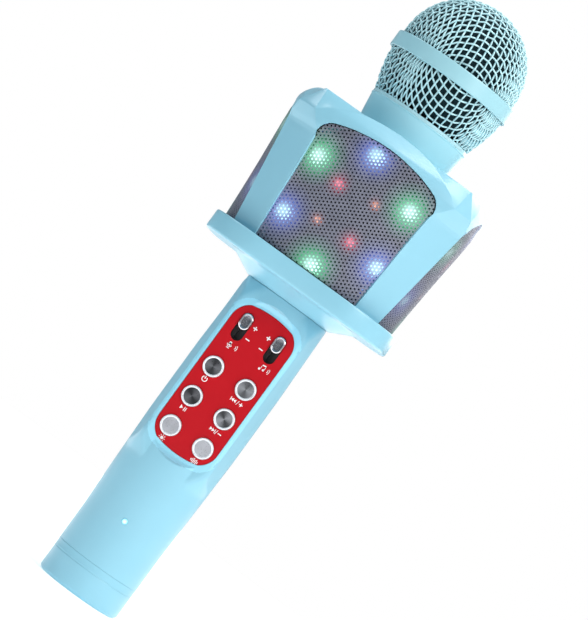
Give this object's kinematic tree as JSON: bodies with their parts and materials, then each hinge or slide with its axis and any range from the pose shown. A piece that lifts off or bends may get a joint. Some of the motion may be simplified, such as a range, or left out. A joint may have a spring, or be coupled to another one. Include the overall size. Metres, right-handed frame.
{
  "type": "toy microphone",
  "caption": "Hand-held toy karaoke microphone with a lit square speaker chamber, woven mesh head, red control panel and screw-off tail cap.",
  "frame": {"origin": "centre of the flat end of the tail cap, on which the microphone stands", "axes": "+Z runs along the handle from the tail to the mesh head; -Y is the side with the control panel; +X is to the right of someone who looks at the panel"},
  "size_m": [0.086, 0.086, 0.2765],
  "materials": {
    "shell_plastic": "pale sky-blue moulded plastic with a soft gloss",
    "mesh_wire": "woven wire sprayed pale blue",
    "grille_sheet": "perforated sheet sprayed lilac-grey",
    "panel_plastic": "glossy red moulded plastic",
    "button_metal": "spun face with a polished bevel",
    "knob_metal": "polished plating",
    "black_plastic": "satin black",
    "circuit_board": "solder mask over glass fibre",
    "lamp_lens": "clear-white lamp resin",
    "status_lens": "clear light pipe",
    "steel": "bright zinc plating",
    "magnet_iron": "sintered ferrite and blackened iron",
    "contact_metal": "plated spring brass",
    "battery_wrap": "shrink-wrapped cell",
    "foam": "open-cell foam",
    "soft_rubber": "moulded rubber",
    "cone_paper": "doped paper cone"
  },
  "bodies": {
    "body": {"battery_cell": "battery_wrap", "battery_contact": "contact_metal", "battery_cradle": "black_plastic", "handle_tube": "shell_plastic", "control_panel": "panel_plastic", "mic_potentiometer": "black_plastic", "music_potentiometer": "black_plastic", "tact_switches": "black_plastic", "main_board": "circuit_board", "board_screws": "steel", "status_light": "status_lens", "port_panel": "black_plastic", "port_board": "circuit_board", "charging_socket": "steel", "audio_socket": "black_plastic", "card_socket": "steel", "base_flange": "shell_plastic", "chamber_floor": "black_plastic", "frame_screws": "steel", "speaker_frame": "shell_plastic", "front_grille": "grille_sheet", "right_grille": "grille_sheet", "rear_grille": "grille_sheet", "left_grille": "grille_sheet", "front_light_board": "circuit_board", "right_light_board": "circuit_board", "rear_light_board": "circuit_board", "left_light_board": "circuit_board", "front_lights": "lamp_lens", "right_lights": "lamp_lens", "rear_lights": "lamp_lens", "left_lights": "lamp_lens", "speaker_basket": "steel", "speaker_magnet": "magnet_iron", "speaker_surround": "soft_rubber", "neck_collar": "shell_plastic", "collar_screws": "steel", "capsule_holder": "black_plastic", "capsule_cushion": "soft_rubber", "mic_capsule": "steel"},
    "windscreen": {"foam_windscreen": "foam"},
    "head": {"grille_thread_ring": "steel", "grille_cup": "mesh_wire", "grille_band": "shell_plastic", "grille_dome": "mesh_wire"},
    "seal": {"tail_seal": "soft_rubber"},
    "tail": {"tail_cap": "shell_plastic", "tail_spring": "steel"},
    "mic_knob": {"mic_volume_knob": "knob_metal"},
    "music_knob": {"music_volume_knob": "knob_metal"},
    "cone": {"speaker_cone": "cone_paper"},
    "power_key": {"power_button": "button_metal"},
    "play_key": {"play_button": "button_metal"},
    "light_key": {"light_button": "button_metal"},
    "previous_key": {"previous_button": "button_metal"},
    "next_key": {"next_button": "button_metal"},
    "effect_key": {"effect_button": "button_metal"}
  },
  "joints": [
    {"name": "head_lift", "type": "slide", "parent": "body", "child": "windscreen", "axis": [0, 0, 1], "range_m": [0, 0.0041]},
    {"name": "head_turn", "type": "hinge", "parent": "windscreen", "child": "head", "pos_m": [0, 0, 0.22], "axis": [0, 0, 1], "range_deg": [0, 720]},
    {"name": "tail_drop", "type": "slide", "parent": "body", "child": "seal", "axis": [0, 0, -1], "range_m": [0, 0.0031]},
    {"name": "tail_turn", "type": "hinge", "parent": "seal", "child": "tail", "pos_m": [0, 0, 0.007], "axis": [0, 0, -1], "range_deg": [0, 540]},
    {"name": "power_press", "type": "slide", "parent": "body", "child": "power_key", "axis": [0, 1, 0], "range_m": [0, 0.0007], "stiffness_N_per_m": 1200, "springref_m": -0.0003},
    {"name": "play_press", "type": "slide", "parent": "body", "child": "play_key", "axis": [0, 1, 0], "range_m": [0, 0.0007], "stiffness_N_per_m": 1200, "springref_m": -0.0003},
    {"name": "light_press", "type": "slide", "parent": "body", "child": "light_key", "axis": [0, 1, 0], "range_m": [0, 0.0007], "stiffness_N_per_m": 1200, "springref_m": -0.0003},
    {"name": "previous_press", "type": "slide", "parent": "body", "child": "previous_key", "axis": [0, 1, 0], "range_m": [0, 0.0007], "stiffness_N_per_m": 1200, "springref_m": -0.0003},
    {"name": "next_press", "type": "slide", "parent": "body", "child": "next_key", "axis": [0, 1, 0], "range_m": [0, 0.0007], "stiffness_N_per_m": 1200, "springref_m": -0.0003},
    {"name": "effect_press", "type": "slide", "parent": "body", "child": "effect_key", "axis": [0, 1, 0], "range_m": [0, 0.0007], "stiffness_N_per_m": 1200, "springref_m": -0.0003},
    {"name": "mic_volume_slide", "type": "slide", "parent": "body", "child": "mic_knob", "axis": [0, 0, 1], "range_m": [-0.0046, 0]},
    {"name": "music_volume_slide", "type": "slide", "parent": "body", "child": "music_knob", "axis": [0, 0, 1], "range_m": [-0.0046, 0]},
    {"name": "cone_travel", "type": "slide", "parent": "body", "child": "cone", "axis": [0, 0, 1], "range_m": [-0.0008, 0.0008], "stiffness_N_per_m": 1500}
  ],
  "couplings": [
    {"joint": "head_lift", "follows": "head_turn", "m_per_rad": 0.00031831},
    {"joint": "tail_drop", "follows": "tail_turn", "m_per_rad": 0.00031831}
  ]
}
